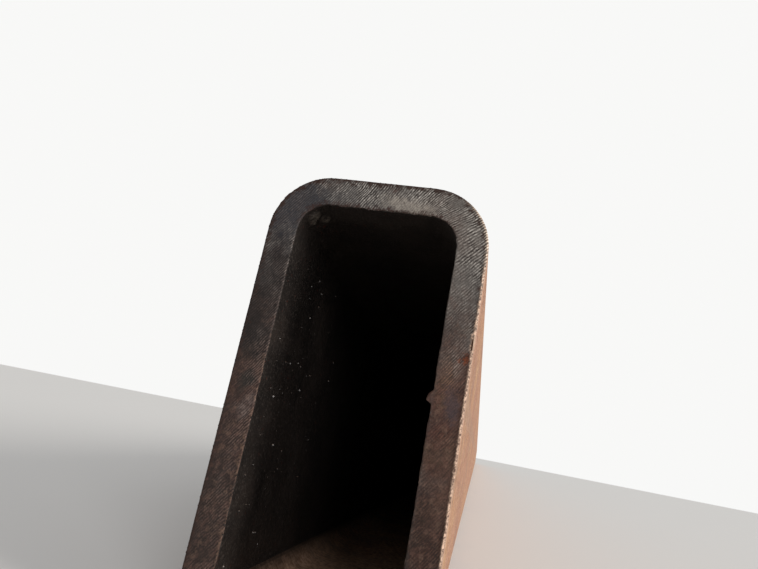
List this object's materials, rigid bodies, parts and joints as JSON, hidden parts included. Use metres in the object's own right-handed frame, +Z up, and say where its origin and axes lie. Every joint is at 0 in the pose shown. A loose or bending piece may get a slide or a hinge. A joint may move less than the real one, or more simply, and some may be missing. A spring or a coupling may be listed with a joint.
{
  "type": "rectangular steel tube",
  "caption": "Rectangular hollow steel section, thick-walled with round bent corners, sawn square at both ends, with a weld seam's flash inside one wide wall.",
  "frame": {"origin": "middle of the narrow face that the tube lies on, half way along its length", "axes": "+Y along the tube, +X across the narrow side towards the wall with the weld seam, +Z up the wide side"},
  "size_m": [0.0762, 6.096, 0.1524],
  "materials": {
    "steel": "dark rolled mill scale with a bloom of tan and orange rust, saw-cut grey on the end faces"
  },
  "bodies": {
    "root": {"tube": "steel"}
  },
  "joints": []
}
